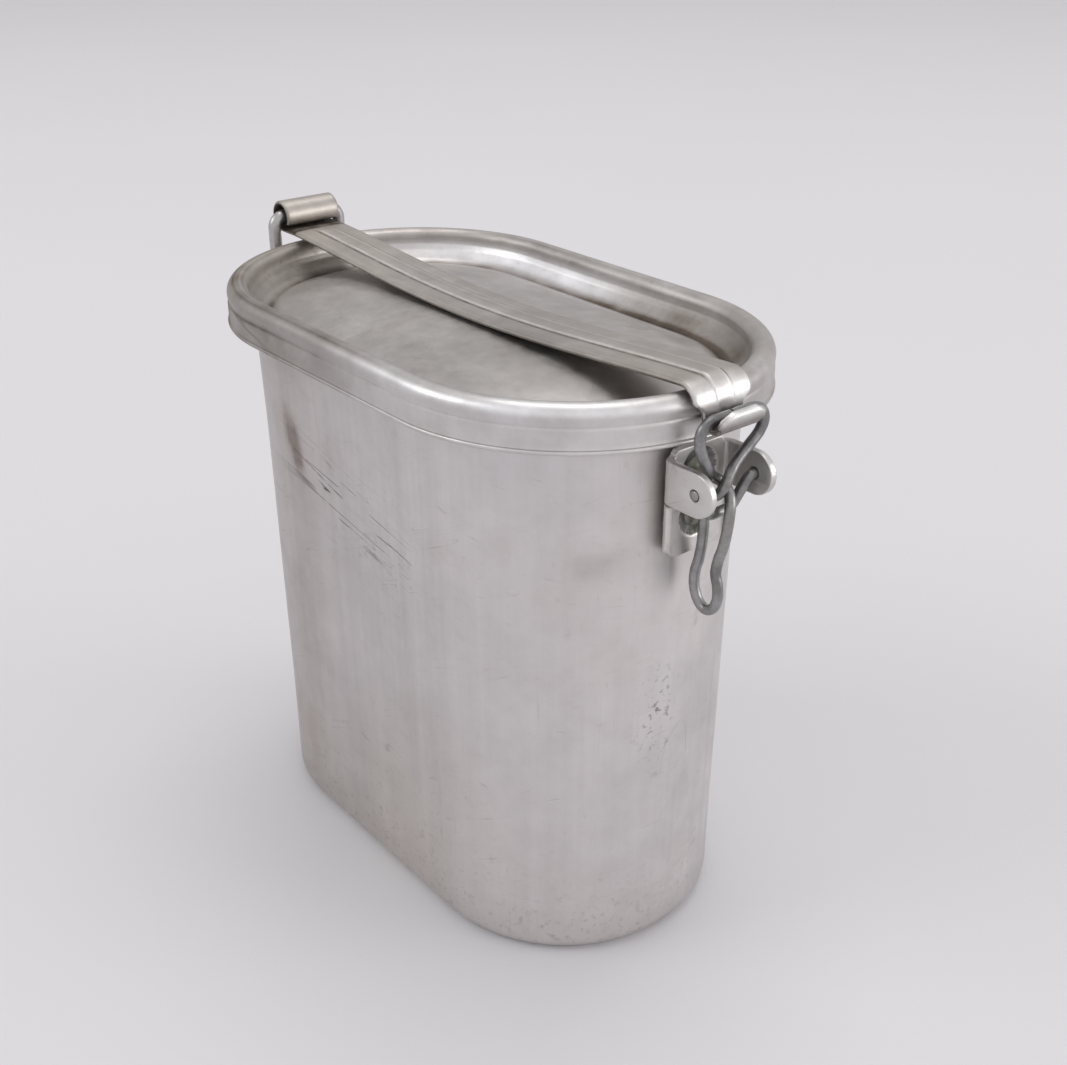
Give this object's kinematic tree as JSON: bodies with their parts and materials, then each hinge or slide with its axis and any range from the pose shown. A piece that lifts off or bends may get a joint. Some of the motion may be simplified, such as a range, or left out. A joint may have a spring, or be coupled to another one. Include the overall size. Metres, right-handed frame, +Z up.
{
  "type": "food canteen",
  "caption": "Oval deep-drawn aluminium food canteen with a sunken lid held down by a hinged metal strap and a wire over-centre latch.",
  "frame": {"origin": "centre of the pot's base, on the face it stands on", "axes": "+X along the long side to the latch, +Z up, +Y across the pot"},
  "size_m": [0.2, 0.1084, 0.1836],
  "materials": {
    "pot_metal": "worn, drawn, lightly tarnished",
    "lid_metal": "worn, polished on the rim, stained in the crease",
    "strap_metal": "brushed along its length, worn bright at the bend",
    "bracket_metal": "pressed, satin",
    "rivet_metal": "dull, dirty round the head",
    "ring_metal": "worn wire",
    "latch_wire": "dark, dull galvanised wire"
  },
  "bodies": {
    "pot": {"pot": "pot_metal", "front_bracket": "bracket_metal", "front_rivets": "rivet_metal", "rear_bracket": "bracket_metal", "rear_rivets": "rivet_metal"},
    "lid": {"lid": "lid_metal"},
    "ring": {"rear_ring": "ring_metal"},
    "strap": {"strap": "strap_metal"},
    "link": {"latch_link": "latch_wire"},
    "lever": {"closing_lever": "latch_wire"}
  },
  "joints": [
    {"name": "ring_swing", "type": "hinge", "parent": "pot", "child": "ring", "pos_m": [-0.0943, 0, 0.1494], "axis": [0, -1, 0], "range_deg": [0, 110]},
    {"name": "strap_swing", "type": "hinge", "parent": "ring", "child": "strap", "pos_m": [-0.0943, 0, 0.1787], "axis": [0, -1, 0], "range_deg": [0, 110]},
    {"name": "lid_lift", "type": "slide", "parent": "pot", "child": "lid", "axis": [0, 0, 1], "range_m": [0, 0.0461]},
    {"name": "link_swing", "type": "hinge", "parent": "pot", "child": "link", "pos_m": [0.0943, 0, 0.1494], "axis": [0, -1, 0], "range_deg": [0, 90]},
    {"name": "lever_swing", "type": "hinge", "parent": "link", "child": "lever", "pos_m": [0.0924, 0, 0.1412], "axis": [0, -1, 0], "range_deg": [-65.7, 0]}
  ],
  "couplings": [
    {"joint": "ring_swing", "follows": "strap_swing", "ratio": 1},
    {"joint": "lid_lift", "follows": "strap_swing", "m_per_rad": 0.024},
    {"joint": "lever_swing", "follows": "link_swing", "ratio": -0.73}
  ]
}
